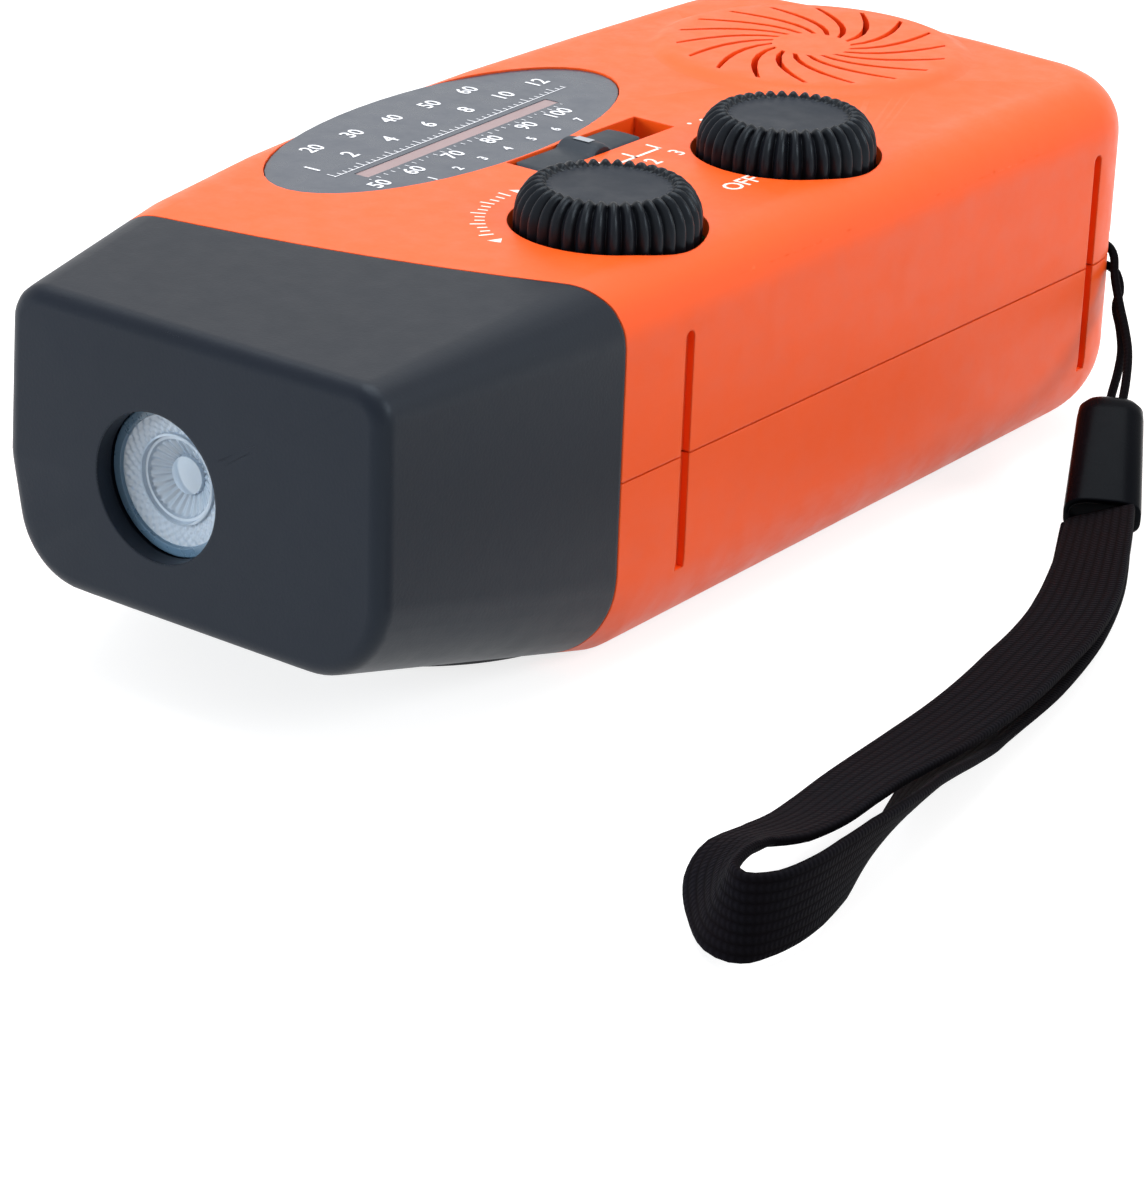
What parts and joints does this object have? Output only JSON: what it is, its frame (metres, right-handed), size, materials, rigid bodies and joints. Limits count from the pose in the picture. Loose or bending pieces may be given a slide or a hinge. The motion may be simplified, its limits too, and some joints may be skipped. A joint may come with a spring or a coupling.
{
  "type": "hand-crank emergency radio",
  "caption": "Hand-held emergency radio with torch head, oval tuning dial, ribbed knobs, round speaker grille, folding crank, pull-out antenna and wrist strap.",
  "frame": {"origin": "middle of the case's bounding box on the back face that the radio lies on, without the strap", "axes": "+Z out of the front panel with dial, knobs and speaker, -Y towards the torch, +Y towards the speaker end, +X towards the flat side with the grip grooves"},
  "size_m": [0.1108, 0.1467, 0.0455],
  "materials": {
    "case_orange": "fine-textured moulded orange-red plastic",
    "black_plastic": "fine-textured black plastic",
    "gloss_black": "smooth black plastic dial plate",
    "strip_clear": "pale translucent plastic strip",
    "lens_clear": "clear moulded torch optic",
    "cup_metal": "bright metallised plastic",
    "led_yellow": "white LED with a yellow phosphor",
    "pointer_red": "red moulded pointer",
    "ivory_plastic": "ivory acetal",
    "cord_grey": "thin dial cord",
    "steel": "plain steel",
    "plated": "nickel-plated tube",
    "pcb_green": "green solder-masked board",
    "chip_black": "moulded chip bodies",
    "ferrite": "dark ferrite",
    "copper_wire": "enamelled copper winding",
    "cell_wrap": "shrink-wrapped cell",
    "magnet_metal": "zinc-plated magnet cup",
    "cone_paper": "black pulp cone",
    "solar_blue": "dark blue cells under clear resin",
    "rubber_black": "soft black rubber",
    "strap_fabric": "woven black polyester",
    "screw_metal": "blackened steel"
  },
  "bodies": {
    "radio_body": {"front_case": "case_orange", "back_case": "case_orange", "lamp_head": "black_plastic", "lamp_lens": "lens_clear", "lamp_cup": "cup_metal", "lamp_led": "led_yellow", "dial_window": "gloss_black", "dial_strip": "strip_clear", "dial_cord": "cord_grey", "pulley_front": "ivory_plastic", "pulley_rear": "ivory_plastic", "pulley_side": "ivory_plastic", "tuning_gang": "ivory_plastic", "volume_pot": "steel", "band_switch": "steel", "torch_switch": "chip_black", "speaker_frame": "steel", "speaker_cone": "cone_paper", "speaker_magnet": "magnet_metal", "main_board": "pcb_green", "board_chips": "chip_black", "ferrite_rod": "ferrite", "ferrite_coil": "copper_wire", "battery_cell": "cell_wrap", "generator": "steel", "idler_pin": "steel", "solar_panel": "solar_blue", "solar_frame": "black_plastic", "port_board": "pcb_green", "usb_a_socket": "steel", "usb_c_socket": "steel", "mast_pin": "steel", "case_screw_1": "screw_metal", "case_screw_2": "screw_metal", "case_screw_3": "screw_metal", "case_screw_4": "screw_metal", "strap_post": "steel", "strap_string": "strap_fabric", "strap_clamp": "black_plastic", "strap_webbing": "strap_fabric"},
    "crank_drum_body": {"crank_drum": "black_plastic", "crank_gear": "ivory_plastic", "hinge_pin": "steel"},
    "crank_arm_body": {"crank_arm": "black_plastic", "handle_pin": "steel"},
    "crank_handle_body": {"crank_handle": "black_plastic"},
    "idler_body": {"idler_gear": "ivory_plastic"},
    "rotor_body": {"generator_rotor": "ivory_plastic"},
    "tuning_body": {"tuning_knob": "black_plastic", "tuning_drum": "ivory_plastic"},
    "pointer_body": {"dial_pointer": "pointer_red"},
    "volume_body": {"volume_knob": "black_plastic"},
    "band_body": {"band_slider": "black_plastic"},
    "torch_button_body": {"torch_button": "rubber_black"},
    "flap_body": {"port_flap": "rubber_black"},
    "mast_tube_body": {"mast_tube": "plated"},
    "mast_middle_body": {"mast_middle": "plated"},
    "mast_inner_body": {"mast_inner": "plated"},
    "mast_rod_body": {"mast_rod": "plated"}
  },
  "joints": [
    {"name": "crank_spin", "type": "hinge", "parent": "radio_body", "child": "crank_drum_body", "pos_m": [0, -0.028, 0.0105], "axis": [0, 0, 1], "continuous": true},
    {"name": "crank_fold", "type": "hinge", "parent": "crank_drum_body", "child": "crank_arm_body", "pos_m": [0, -0.0464, 0.0024], "axis": [-1, 0, 0], "range_deg": [0, 180]},
    {"name": "handle_spin", "type": "hinge", "parent": "crank_arm_body", "child": "crank_handle_body", "pos_m": [0, -0.0159, 0.0125], "axis": [0, 0, 1], "continuous": true},
    {"name": "idler_spin", "type": "hinge", "parent": "radio_body", "child": "idler_body", "pos_m": [-0.00452, -0.0024, 0.0243], "axis": [0, 0, 1], "continuous": true},
    {"name": "rotor_spin", "type": "hinge", "parent": "radio_body", "child": "rotor_body", "pos_m": [-0.008, 0.0173, 0.017], "axis": [0, 0, 1], "continuous": true},
    {"name": "tuning_turn", "type": "hinge", "parent": "radio_body", "child": "tuning_body", "pos_m": [0.0172, -0.0185, 0.04], "axis": [0, 0, 1], "range_deg": [0, 330]},
    {"name": "pointer_slide", "type": "slide", "parent": "radio_body", "child": "pointer_body", "axis": [-0.0523, 0.9986, 0], "range_m": [0, 0.03305]},
    {"name": "volume_turn", "type": "hinge", "parent": "radio_body", "child": "volume_body", "pos_m": [0.0166, 0.014, 0.04], "axis": [0, 0, 1], "range_deg": [0, 300]},
    {"name": "band_slide", "type": "slide", "parent": "radio_body", "child": "band_body", "axis": [0, 1, 0], "range_m": [0, 0.0048]},
    {"name": "torch_press", "type": "slide", "parent": "radio_body", "child": "torch_button_body", "axis": [1, 0, 0], "range_m": [0, 0.001], "stiffness_N_per_m": 300},
    {"name": "flap_open", "type": "hinge", "parent": "radio_body", "child": "flap_body", "pos_m": [-0.0016, 0.07, 0.0085], "axis": [-1, 0, 0], "range_deg": [0, 110]},
    {"name": "mast_swing", "type": "hinge", "parent": "radio_body", "child": "mast_tube_body", "pos_m": [-0.0262, -0.002, 0.03], "axis": [0, 0, 1], "range_deg": [0, 90]},
    {"name": "mast_pull_1", "type": "slide", "parent": "mast_tube_body", "child": "mast_middle_body", "axis": [0, 1, 0], "range_m": [0, 0.05]},
    {"name": "mast_pull_2", "type": "slide", "parent": "mast_middle_body", "child": "mast_inner_body", "axis": [0, 1, 0], "range_m": [0, 0.05]},
    {"name": "mast_pull_3", "type": "slide", "parent": "mast_inner_body", "child": "mast_rod_body", "axis": [0, 1, 0], "range_m": [0, 0.05]}
  ],
  "couplings": [
    {"joint": "idler_spin", "follows": "crank_spin", "ratio": -3.3333},
    {"joint": "rotor_spin", "follows": "crank_spin", "ratio": 10},
    {"joint": "pointer_slide", "follows": "tuning_turn", "m_per_rad": 0.00573}
  ]
}
